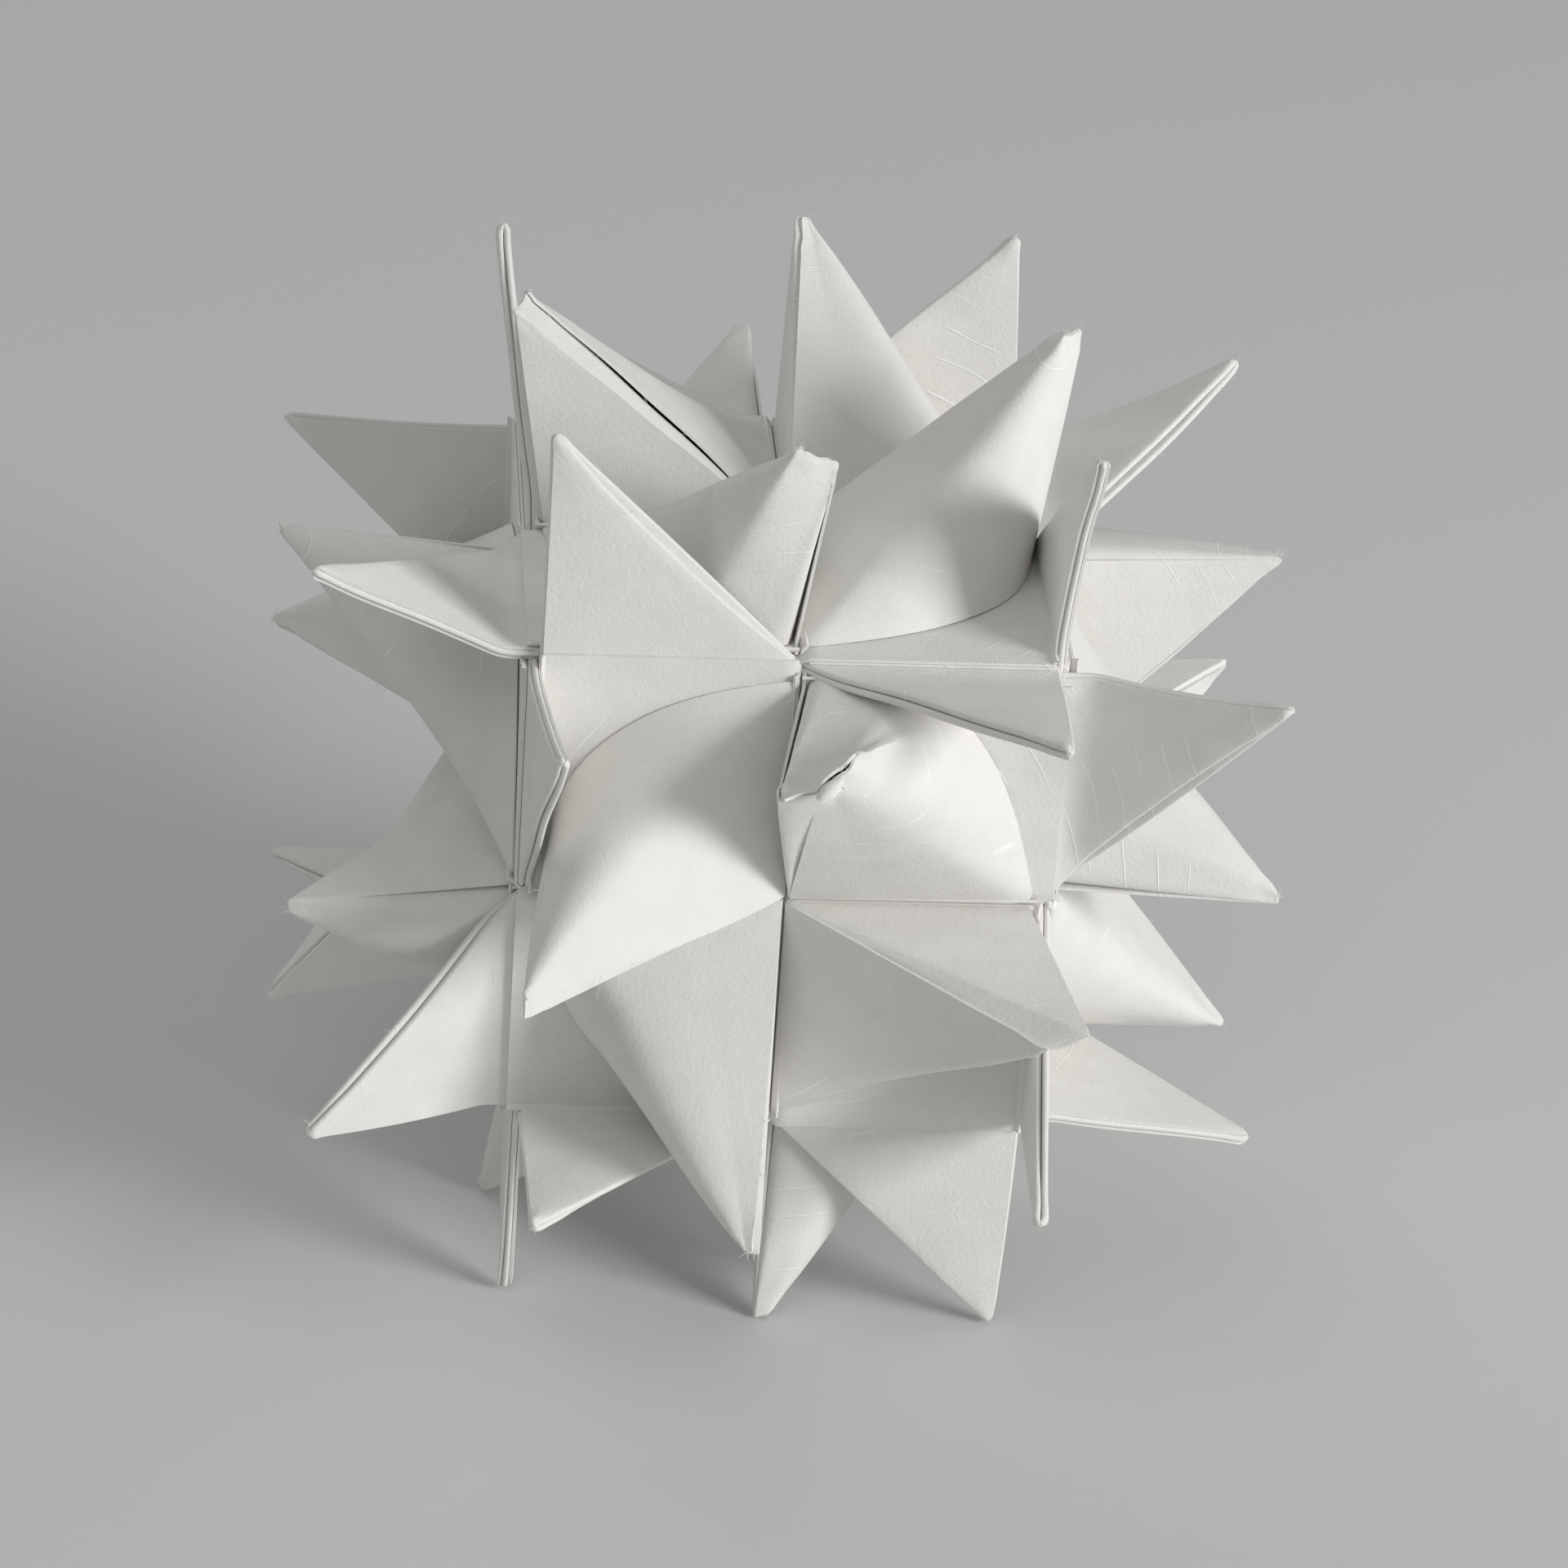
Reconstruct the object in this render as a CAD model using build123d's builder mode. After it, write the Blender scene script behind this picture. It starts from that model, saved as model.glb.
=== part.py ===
"""Woven paper star ball: twelve paper strips, each folded in half and plaited into a cube.

Every face of the cube is a two by two plait. Where a strip leaves a face it is folded
into a flat four-layer point, its tail goes back into the pocket under the plait, comes out on
the middle line of the face, stands up, and is curled round into a hollow cone. The end
of the strip goes into the pocket of the next square. Each strip makes two flat points and
two cones, so the ball has twenty-four of each, and it rests on eight tips.
"""

import os
from math import atan2, cos, hypot, radians, sin, tan

from build123d import *

# Driving dimensions, in millimetres
weave_pitch = 15.0
strip_gap = 0.90
paper = 0.12
layer_pitch = 0.20
clearance = 0.03
end_setback = 1.2
slope_stub = 0.16
crease = 0.17
torn_depth = 2.0

# Sizes that follow from them
strip_width = weave_pitch - strip_gap
inner_edge = strip_gap / 2
outer_edge = weave_pitch - inner_edge
ramp_low = inner_edge - paper - 2 * clearance
ramp_high = -inner_edge
rise_at = inner_edge - paper / 2 - clearance
wall_shrink = 1 - paper / (0.30 * strip_width)


def level(number):
    """Distance of the middle of a layer from the cube's centre, counted from the inside."""
    return weave_pitch + (number - 1) * layer_pitch


# Layer numbers on every face, from the inside out. A strip lies single or doubled, and
# above the bands that go under, a pocket holds the end of a cone and the tail of a point.
UNDER = 1
UNDER_TWIN = UNDER + 1
OVER_TWIN = UNDER_TWIN + 2
OVER = OVER_TWIN + 1
ABOVE = OVER + 1
TAIL_UNDER_DOUBLE = OVER_TWIN - 1
TAIL_UNDER_SINGLE = OVER - 1
POINT_LAYERS = 4
FIRST = POINT_LAYERS - 1
face_height = level(ABOVE) - paper / 2
tip_height = face_height + strip_width

# Faces that the first strip crosses: right, and outward, as seen from outside
FRONT = Plane(origin=(0, 0, 0), x_dir=(1, 0, 0), z_dir=(0, -1, 0))
BOTTOM = Plane(origin=(0, 0, 0), x_dir=(1, 0, 0), z_dir=(0, 0, -1))
BACK = Plane(origin=(0, 0, 0), x_dir=(1, 0, 0), z_dir=(0, 1, 0))

# Outline of a cone's mouth on its square, as shares of the strip's width from the face's centre
mouth_shares = [
    (0.55, 0.0),
    (0.90, 0.05),
    (0.965, 0.20),
    (0.955, 0.38),
    (0.90, 0.53),
    (0.80, 0.67),
    (0.67, 0.77),
    (0.50, 0.86),
    (0.30, 0.94),
]
hollow_centre = (0.60, 0.34)


def stroke(points, thickness):
    """Closed outline of a path of straight runs with that thickness and mitred corners."""

    def side(sign):
        out = []
        for i, (x, y) in enumerate(points):
            before = points[max(i - 1, 0)]
            after = points[min(i + 1, len(points) - 1)]
            runs = []
            for (ax, ay), (bx, by) in ((before, (x, y)), ((x, y), after)):
                length = hypot(bx - ax, by - ay)
                if length > 0:
                    runs.append(((ay - by) / length, (bx - ax) / length))
            nx = sum(run[0] for run in runs)
            ny = sum(run[1] for run in runs)
            reach = sign * thickness / 2 * len(runs) / (nx * nx + ny * ny)
            out.append((x + nx * reach, y + ny * reach))
        return out

    return side(1) + side(-1)[::-1]


def upright(face, at):
    """Plane across a face: its x runs to the face's right, its y outward, at that height up the face."""
    return Plane(origin=face.y_dir * at, x_dir=face.x_dir, z_dir=-face.y_dir)


def foot_of(number, tail_level, tilt):
    """Height at which a layer of a flat point bends out of its face, on the mitre of the bend."""
    lift = (number - tail_level + FIRST / 2) * layer_pitch
    return face_height - lift * tan(radians(tilt) / 2)


def body_path(first_tilt, second_tilt):
    """Side view of the plaited part: up the front, folded in half, down again and under the ball."""
    first = TAIL_UNDER_DOUBLE - FIRST
    second = TAIL_UNDER_SINGLE - FIRST
    return [
        (-foot_of(first, TAIL_UNDER_DOUBLE, first_tilt) - clearance, -level(first)),
        (-level(OVER), -level(first)),
        (-level(OVER), ramp_high),
        (-level(UNDER_TWIN), ramp_low),
        (-level(UNDER_TWIN), outer_edge),
        (-level(UNDER), outer_edge),
        (-level(UNDER), ramp_low),
        (-level(OVER_TWIN), ramp_high),
        (-level(OVER_TWIN), -level(UNDER)),
        (-ramp_low, -level(UNDER)),
        (-ramp_high, -level(OVER)),
        (level(second), -level(OVER)),
        (level(second), -foot_of(second, TAIL_UNDER_SINGLE, second_tilt) - clearance),
    ]


def add_plait(first_tilt, second_tilt):
    """The plaited part of the strip, two layers on the front face and one on the bottom."""
    with BuildSketch(Plane.YZ.offset(-weave_pitch / 2)) as side_view:
        with BuildLine():
            Polyline(*stroke(body_path(first_tilt, second_tilt), paper), close=True)
        make_face()
    extrude(side_view.sketch, amount=strip_width / 2, both=True)


def add_flat_point(face, tail_level, tilt, swing):
    """Flat four-layer point beyond the face's upper edge, and its tail down into the pocket.

    It is bent out of its face by a tilt in degrees, and its tip swings along the edge.
    """
    turn = radians(tilt)
    axis_level = level(tail_level - FIRST / 2)
    hinge = Plane(
        origin=face.y_dir * face_height + face.z_dir * axis_level,
        x_dir=face.x_dir,
        z_dir=face.z_dir * cos(turn) - face.y_dir * sin(turn),
    )
    tip = (-outer_edge + swing * strip_width, strip_width)
    feet = {}
    for number in range(tail_level - FIRST, tail_level + 1):
        feet[number] = face_height - foot_of(number, tail_level, tilt) - clearance
        with BuildSketch(hinge.offset(level(number) - axis_level - paper / 2)) as layer:
            with BuildLine():
                Polyline((-inner_edge, feet[number]), (-outer_edge, feet[number]), tip, close=True)
            make_face()
        extrude(layer.sketch, amount=paper)
    for number in range(tail_level - FIRST, tail_level):
        foot = feet[number]
        slanted = [(-inner_edge, foot), tip, (tip[0], tip[1] - crease), (-inner_edge - crease, foot)]
        square = [(-outer_edge, foot), tip, (tip[0] + paper, tip[1] - paper), (-outer_edge + paper, foot)]
        outline = square if number == tail_level - FIRST + 1 else slanted
        with BuildSketch(hinge.offset(level(number) - axis_level - paper / 2)) as fold:
            with BuildLine():
                Polyline(*outline, close=True)
            make_face()
        extrude(fold.sketch, amount=layer_pitch + paper)
    top = foot_of(tail_level, tail_level, tilt) + clearance
    with BuildSketch(face.offset(level(tail_level) - paper / 2)) as tail:
        with Locations((-weave_pitch / 2, (top + rise_at - paper / 2) / 2)):
            Rectangle(strip_width, top - rise_at + paper / 2)
    extrude(tail.sketch, amount=paper)


def hollow_shape(face, lean, shrink=1.0):
    """Solid cone over its mouth, with its tip near the middle of the face's left edge."""
    base = face_height - (1 - shrink) * weave_pitch / 2
    cx = -hollow_centre[0] * strip_width
    cy = hollow_centre[1] * strip_width
    back = rise_at - paper / 2
    points = [(-inner_edge - crease, outer_edge), (-inner_edge - crease, back)]
    points += [(-inner_edge - u * strip_width, back + v * strip_width) for u, v in mouth_shares]
    loop = [(cx + shrink * (x - cx), cy + shrink * (y - cy)) for x, y in points]
    right, up, out = [share * strip_width for share in lean]
    tip = (
        cx + shrink * (paper - outer_edge + right - cx),
        cy + shrink * (back + up - cy),
        base + shrink * (tip_height + out - paper - crease - face_height),
    )
    with BuildSketch(face.offset(base)) as mouth:
        with BuildLine():
            Polyline(*loop, close=True)
        make_face()
    with BuildPart(mode=Mode.PRIVATE) as cone:
        loft(sections=[mouth.sketch, Vertex(*face.from_local_coords(tip))])
    return cone.part


def add_cone(face, tail_level, end_level, lean):
    """Standing triangle, hollow cone and the strip's end in the next square's pocket.

    The lean moves the tip to the face's right, up and out, in shares of the strip's width.
    """
    with BuildSketch(upright(face, rise_at)) as riser:
        with BuildLine():
            Polyline(
                (-inner_edge, level(tail_level) - paper / 2),
                (-outer_edge, level(tail_level) - paper / 2),
                (-outer_edge, face_height + clearance),
                (-inner_edge, face_height + clearance),
                close=True,
            )
        make_face()
    extrude(riser.sketch, amount=paper / 2, both=True)
    right, up, out = [share * strip_width for share in lean]
    slope = atan2(up, strip_width + out)
    leaning = Plane(
        origin=face.y_dir * rise_at + face.z_dir * face_height,
        x_dir=face.x_dir,
        z_dir=face.z_dir * sin(slope) - face.y_dir * cos(slope),
    )
    with BuildSketch(leaning) as wall:
        with BuildLine():
            Polyline(
                (-inner_edge, -clearance),
                (-outer_edge, -clearance),
                (-outer_edge + right, hypot(up, strip_width + out)),
                (-inner_edge, 0),
                close=True,
            )
        make_face()
    extrude(wall.sketch, amount=paper / 2, both=True)
    add(hollow_shape(face, lean) - hollow_shape(face, lean, wall_shrink))
    end_path = [
        (ramp_high - slope_stub * 2.5, level(ABOVE) + slope_stub),
        (ramp_high, level(ABOVE)),
        (ramp_low, level(end_level)),
        (outer_edge - end_setback, level(end_level)),
    ]
    with BuildSketch(upright(face, weave_pitch / 2)) as end:
        with BuildLine():
            Polyline(*stroke(end_path, paper), close=True)
        make_face()
    extrude(end.sketch, amount=strip_width / 2, both=True)


def torn_off(lean):
    """What is missing from the first cone of the torn strip: its tip, along a ragged edge."""
    right, up, out = [share * strip_width for share in lean]
    tear_line = [(-0.12, 0.13), (0.05, 0.11), (0.07, 0.16), (0.14, 0.09), (0.18, 0.12), (0.32, 0.01)]
    ragged = [
        (-outer_edge + right + x * strip_width, tip_height + out - torn_depth + (0.08 - y) * strip_width)
        for x, y in tear_line
    ]
    ragged += [(ragged[-1][0], tip_height + torn_depth), (ragged[0][0], tip_height + torn_depth)]
    with BuildSketch(upright(BOTTOM, 0)) as tear:
        with BuildLine():
            Polyline(*ragged, close=True)
        make_face()
    return extrude(tear.sketch, amount=strip_width / 2, both=True, mode=Mode.PRIVATE)


def folded_strip(first_point, first_cone, second_point, second_cone, torn):
    """One whole strip, lying at the left of the front face."""
    with BuildPart() as folded:
        add_plait(first_point[0], second_point[0])
        add_flat_point(BOTTOM, TAIL_UNDER_DOUBLE, *first_point)
        add_cone(BOTTOM, TAIL_UNDER_DOUBLE, TAIL_UNDER_SINGLE - 1, first_cone)
        add_flat_point(BACK, TAIL_UNDER_SINGLE, *second_point)
        add_cone(BACK, TAIL_UNDER_SINGLE, TAIL_UNDER_DOUBLE - 1, second_cone)
        if torn:
            add(torn_off(first_cone), mode=Mode.SUBTRACT)
    return folded.part


# Each strip is named by the face on which it lies double, and the side of that face. Its
# turns carry it there from the front left. A point has a tilt out of its face in degrees
# and a swing of its tip; a cone leans to the right, up and out; both in strip widths.
diagonal = Axis((0, 0, 0), (1, 1, 1))
places = [
    ("strip_front_left", 0, None, (-4, 0.018), (-0.113, 0.043, 0), (5, 0.071), (-0.064, -0.014, -0.021)),
    ("strip_back_left", 0, Axis.X, (4, 0), (-0.128, -0.014, -0.014), (0, 0), (-0.057, -0.021, 0)),
    ("strip_front_right", 0, Axis.Y, (12, 0.053), (-0.128, 0.014, 0), (-10, 0.071), (-0.035, 0.021, -0.028)),
    ("strip_back_right", 0, Axis.Z, (9, -0.071), (-0.071, 0.021, 0), (0, 0.035), (-0.128, 0.014, 0)),
    ("strip_bottom_front", 120, None, (0, 0.177), (-0.043, 0.071, -0.071), (27, -0.16), (-0.085, -0.028, -0.05)),
    ("strip_top_back", 120, Axis.X, (12, 0.177), (-0.035, 0.045, 0), (0, 0), (-0.043, 0.021, -0.014)),
    ("strip_top_front", 120, Axis.Y, (4, -0.177), (0, -0.028, -0.064), (12, 0.156), (-0.014, -0.021, 0)),
    ("strip_bottom_back", 120, Axis.Z, (3, 0.035), (-0.028, -0.014, -0.035), (22, -0.071), (0.014, 0.035, -0.007)),
    ("strip_left_bottom", 240, None, (34, 0.142), (-0.064, 0.05, 0), (-2, 0.106), (-0.142, 0.043, -0.071)),
    ("strip_left_top", 240, Axis.X, (-7, -0.106), (-0.028, 0.021, 0), (0, 0.035), (0, 0, 0)),
    ("strip_right_top", 240, Axis.Y, (36, -0.16), (-0.043, -0.014, -0.014), (-4, -0.128), (-0.057, -0.021, 0)),
    ("strip_right_bottom", 240, Axis.Z, (0, 0), (-0.071, 0.028, 0), (8, 0.035), (-0.156, -0.035, 0)),
]

os.makedirs("parts", exist_ok=True)
for name, third_turn, half_turn, first_point, first_cone, second_point, second_cone in places:
    turned = folded_strip(first_point, first_cone, second_point, second_cone, name == "strip_right_top")
    turned = turned.rotate(diagonal, third_turn)
    if half_turn:
        turned = turned.rotate(half_turn, 180)
    with BuildPart() as strip:
        add(turned)
    strip.part.label = name
    export_step(strip.part, f"parts/{name}.step")
    print(name, len(strip.solids()), strip.part.is_valid, round(strip.part.volume, 1))
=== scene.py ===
"""Woven paper star ball, dressed as folded paper: soft creases, curled cones and blunt points.

The ball is a cube of plaited strips. Each of its twelve strips is one piece here, made
of bands, flat four-layer points and rolled cones, in millimetres, and then put in place
in metres. Every surface is a grid worked out with numpy and given the paper's thickness.
"""

from __future__ import annotations

import logging
import math
from dataclasses import dataclass, field
from enum import Enum

import bpy
import numpy as np
from mathutils import Matrix, Vector

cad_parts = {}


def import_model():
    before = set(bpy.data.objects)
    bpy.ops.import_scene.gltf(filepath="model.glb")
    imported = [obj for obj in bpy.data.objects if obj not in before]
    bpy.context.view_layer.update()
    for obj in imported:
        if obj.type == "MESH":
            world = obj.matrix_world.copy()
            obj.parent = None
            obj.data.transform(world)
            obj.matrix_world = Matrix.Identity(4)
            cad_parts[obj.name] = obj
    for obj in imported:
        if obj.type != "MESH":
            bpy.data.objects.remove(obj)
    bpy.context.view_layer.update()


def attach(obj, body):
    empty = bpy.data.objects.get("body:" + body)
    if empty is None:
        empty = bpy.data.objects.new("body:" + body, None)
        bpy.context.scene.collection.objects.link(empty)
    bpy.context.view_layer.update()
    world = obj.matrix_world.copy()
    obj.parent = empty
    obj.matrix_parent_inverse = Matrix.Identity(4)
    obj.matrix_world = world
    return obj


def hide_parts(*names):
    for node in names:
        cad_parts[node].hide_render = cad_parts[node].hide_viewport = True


log = logging.getLogger("star_ball")

# Everything is worked out in millimetres and scaled to metres at the end
MM = 0.001

# Sizes in millimetres. The pitch and the distance between layers are the solid model's;
# the paper's thickness and the gap beside a strip are what the photograph shows.
PITCH = 15.0
LAYER = 0.20
PAPER = 0.17
HALF_GAP = 0.09
WIDTH = PITCH - 2 * HALF_GAP
EDGE = PITCH - HALF_GAP
# How far points and cones reach beyond their face
REACH = 13.98
# Number of the layer that ends at a face's surface
TOP_LAYER = 6
# Points on each run and each half-turn of a flat point's cross-section
RUN = 9
HALF_TURN = 5
# Rays on a cone's standing triangle, and at the crease where it folds over
STANDING = 12
CREASE = 3


class Side(Enum):
    """Side of the ball, with the direction in which it faces."""

    RIGHT = (1, 0, 0)
    LEFT = (-1, 0, 0)
    BACK = (0, 1, 0)
    FRONT = (0, -1, 0)
    TOP = (0, 0, 1)
    BOTTOM = (0, 0, -1)

    @classmethod
    def facing(cls, direction: np.ndarray) -> Side:
        """Side that faces a direction along an axis."""
        x, y, z = (int(round(v)) for v in direction)
        return cls((x, y, z))


def level(number: float) -> float:
    """Height of a layer's middle over the cube's centre, counted from the inside."""
    return PITCH + (number - 1) * LAYER


FACE_HEIGHT = level(TOP_LAYER) - 0.05
# Where a cone's middle stands: to the face's right, up and outward, in millimetres
CONE_BASE = np.array([-HALF_GAP, 0.25, FACE_HEIGHT + 0.02])


def rgb(code: str) -> tuple[float, float, float, float]:
    """Linear colour of an sRGB hex value.

    Args:
        code: six hex digits.

    Returns:
        Red, green, blue and an alpha of one.
    """
    parts = [int(code[i : i + 2], 16) / 255 for i in (0, 2, 4)]
    linear = [c / 12.92 if c <= 0.04045 else ((c + 0.055) / 1.055) ** 2.4 for c in parts]
    return (linear[0], linear[1], linear[2], 1.0)


def ease(x: np.ndarray) -> np.ndarray:
    """Smooth step from nought to one."""
    x = np.clip(x, 0.0, 1.0)
    return x * x * (3 - 2 * x)


def unit(v: np.ndarray) -> np.ndarray:
    """Vectors scaled to a length of one."""
    return v / np.maximum(np.linalg.norm(v, axis=-1, keepdims=True), 1e-12)


@dataclass
class Ripple:
    """Slow unevenness of paper: a sum of a few sine waves of random direction and phase."""

    seed: int
    wave_mm: float = 9.0
    height_mm: float = 0.08
    waves: int = 6

    def __call__(self, points: np.ndarray) -> np.ndarray:
        """Height of the ripple at each point.

        Args:
            points: array of positions, in millimetres.

        Returns:
            One height per point, in millimetres.
        """
        rng = np.random.default_rng(self.seed)
        total = np.zeros(points.shape[:-1])
        for _ in range(self.waves):
            direction = unit(rng.normal(size=3))
            length = self.wave_mm * rng.uniform(0.6, 1.8)
            total += np.sin(points @ direction * 2 * math.pi / length + rng.uniform(0, 6.28))
        return total * self.height_mm / math.sqrt(self.waves)


def crumple(points: np.ndarray, seed: int) -> np.ndarray:
    """Shift of worn paper at a tip: three short ripples, one for each direction.

    Args:
        points: array of positions, in millimetres.
        seed: of the ripples.

    Returns:
        One shift per point, in millimetres.
    """
    return np.stack([Ripple(seed * 7 + axis, 1.5, 0.09)(points) for axis in range(3)], axis=-1)


@dataclass
class Shell:
    """Closed thin shells collected into one mesh."""

    points: list[np.ndarray] = field(default_factory=list)
    faces: list[np.ndarray] = field(default_factory=list)
    count: int = 0
    sharp_deg: float = 48.0

    def add(self, grid: np.ndarray, thickness: float = PAPER) -> None:
        """Add a sheet of paper: the grid moved half a thickness each way along its normal.

        Args:
            grid: positions of the sheet's middle, rows by columns by three.
            thickness: of the sheet, in millimetres.
        """
        rows, columns = grid.shape[:2]
        along = np.gradient(grid, axis=0)
        across = np.gradient(grid, axis=1)
        normal = unit(np.cross(across, along))
        upper = grid + normal * thickness / 2
        lower = grid - normal * thickness / 2
        index = np.arange(rows * columns).reshape(rows, columns)
        a, b = index[:-1, :-1], index[:-1, 1:]
        c, d = index[1:, 1:], index[1:, :-1]
        top = np.stack([a, b, c, d], axis=-1).reshape(-1, 4)
        low = rows * columns
        border = np.concatenate([index[0, :], index[1:, -1], index[-1, -2::-1], index[-2:0:-1, 0]])
        after = np.roll(border, -1)
        rim = np.stack([after, border, border + low, after + low], axis=-1)
        self.points += [upper.reshape(-1, 3), lower.reshape(-1, 3)]
        self.faces += [quads + self.count for quads in (top, top[:, ::-1] + low, rim)]
        self.count += 2 * rows * columns

    def mesh(self, name: str, turn: np.ndarray) -> bpy.types.Mesh:
        """Mesh of all the sheets, turned into place and in metres.

        Args:
            name: of the mesh.
            turn: rotation from the first strip's place to this one's.

        Returns:
            The mesh, smooth but for the cut edges of the paper.
        """
        points = np.concatenate(self.points) @ turn.T * MM
        faces = np.concatenate(self.faces)
        mesh = bpy.data.meshes.new(name)
        mesh.from_pydata(points.tolist(), [], faces.tolist())
        mesh.validate()
        mesh.shade_smooth()
        mesh.set_sharp_from_angle(angle=math.radians(self.sharp_deg))
        mesh.update()
        return mesh


@dataclass(frozen=True)
class Face:
    """One face of the cube, seen from outside: right, up and outward directions."""

    right: tuple[int, int, int]
    up: tuple[int, int, int]

    @property
    def outward(self) -> tuple[int, int, int]:
        """Direction out of the face."""
        x, y, z = np.cross(self.right, self.up)
        return (int(x), int(y), int(z))

    def place(self, local: np.ndarray) -> np.ndarray:
        """Positions in the ball of points given as right, up and outward distances."""
        axes = np.array([self.right, self.up, self.outward], float)
        return local @ axes


BOTTOM = Face((1, 0, 0), (0, -1, 0))
BACK = Face((1, 0, 0), (0, 0, -1))


@dataclass
class PointPose:
    """How a flat point leaves its ideal place.

    tilt_deg bends it out of its face about its foot, swing_mm moves the tip along the
    foot, curl_deg bends it further towards the tip, and swell_mm opens its layers.
    """

    tilt_deg: float = 0.0
    swing_mm: float = 0.0
    curl_deg: float = 0.0
    swell_mm: float = 0.07


@dataclass
class ConePose:
    """How a cone leaves its ideal place: shift of its tip to the face's right, up and out.

    The tip is not a point but a short blunt edge, and blunt_mm is the way from one end
    of that edge to the other. spring_mm is how far the loose cut edge beside the crease
    stands open at its middle.
    """

    right_mm: float = 0.0
    up_mm: float = 0.0
    out_mm: float = 0.0
    blunt_mm: tuple[float, float, float] = (0.1, 0.7, -0.1)
    spring_mm: float = 0.1
    torn: bool = False


# Leans of the points and cones, named by their face and the side they stand at. A search
# for the lean that puts a tip where it is in the photograph gave those of the visible
# ones, which were rounded and partly changed. The others are guesses.
POINTS: dict[tuple[Side, Side], PointPose] = {
    (Side.FRONT, Side.TOP): PointPose(0, 0),
    (Side.FRONT, Side.LEFT): PointPose(34, 2),
    (Side.FRONT, Side.BOTTOM): PointPose(0, 0.5),
    (Side.FRONT, Side.RIGHT): PointPose(36, -2.25),
    (Side.TOP, Side.BACK): PointPose(4, 0),
    (Side.TOP, Side.LEFT): PointPose(27, -2.25),
    (Side.TOP, Side.FRONT): PointPose(12, 0.75),
    (Side.TOP, Side.RIGHT): PointPose(22, -1),
    (Side.RIGHT, Side.TOP): PointPose(4, -2.5),
    (Side.RIGHT, Side.FRONT): PointPose(-2, 1.5),
    (Side.RIGHT, Side.BOTTOM): PointPose(3, 0.5),
    (Side.RIGHT, Side.BACK): PointPose(0, 0.5),
    (Side.LEFT, Side.TOP): PointPose(12, 2.2),
    (Side.LEFT, Side.BACK): PointPose(8, 0.5),
    (Side.LEFT, Side.BOTTOM): PointPose(0, 2.5),
    (Side.LEFT, Side.FRONT): PointPose(-4, -1.8),
    (Side.BACK, Side.TOP): PointPose(-10, 1),
    (Side.BACK, Side.RIGHT): PointPose(0, 0),
    (Side.BACK, Side.BOTTOM): PointPose(5, 1),
    (Side.BACK, Side.LEFT): PointPose(-7, -1.5),
    (Side.BOTTOM, Side.FRONT): PointPose(-4, 0.25),
    (Side.BOTTOM, Side.LEFT): PointPose(0, 0),
    (Side.BOTTOM, Side.BACK): PointPose(9, -1),
    (Side.BOTTOM, Side.RIGHT): PointPose(12, 2.5),
}
CONES: dict[tuple[Side, Side], ConePose] = {
    (Side.FRONT, Side.LEFT): ConePose(-0.8, -0.3, 0, (0.0, 1.5, -0.3), 0.5),
    (Side.FRONT, Side.BOTTOM): ConePose(-0.9, 1.3, 0),
    (Side.FRONT, Side.RIGHT): ConePose(-1.8, 0.2, 0, (2.3, 1.1, 0.0)),
    (Side.FRONT, Side.TOP): ConePose(-0.6, -0.2, -0.2, torn=True),
    (Side.TOP, Side.LEFT): ConePose(-1.8, -0.2, -0.2, (0.6, 2.5, 0.2), 0.3),
    (Side.TOP, Side.FRONT): ConePose(-0.5, -1.7, -1.7, (-1.3, 2.7, 1.5)),
    (Side.TOP, Side.RIGHT): ConePose(-1.8, 0.2, 0, (1.1, 0.7, 0.1)),
    (Side.TOP, Side.BACK): ConePose(0.2, 0.5, -0.1),
    (Side.RIGHT, Side.FRONT): ConePose(0, -0.4, -0.9),
    (Side.RIGHT, Side.BOTTOM): ConePose(-2, 0.6, -1),
    (Side.RIGHT, Side.BACK): ConePose(-0.4, -0.2, -0.5),
    (Side.RIGHT, Side.TOP): ConePose(0, 0, 0),
    (Side.LEFT, Side.BACK): ConePose(-0.5, 0.6, 0),
    (Side.LEFT, Side.BOTTOM): ConePose(-2.2, -0.5, 0),
    (Side.LEFT, Side.FRONT): ConePose(-0.6, 1, -1),
    (Side.LEFT, Side.TOP): ConePose(-0.8, -0.3, 0),
    (Side.BACK, Side.RIGHT): ConePose(-0.5, 0.3, -0.4),
    (Side.BACK, Side.BOTTOM): ConePose(-1, 0.4, 0),
    (Side.BACK, Side.LEFT): ConePose(-0.9, -0.2, -0.3),
    (Side.BACK, Side.TOP): ConePose(-0.4, 0.3, 0),
    (Side.BOTTOM, Side.LEFT): ConePose(-1.6, 0.6, 0),
    (Side.BOTTOM, Side.BACK): ConePose(-0.6, 0.3, -0.2),
    (Side.BOTTOM, Side.RIGHT): ConePose(-1, 0.3, 0),
    (Side.BOTTOM, Side.FRONT): ConePose(-0.2, -0.3, 0),
}


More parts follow.
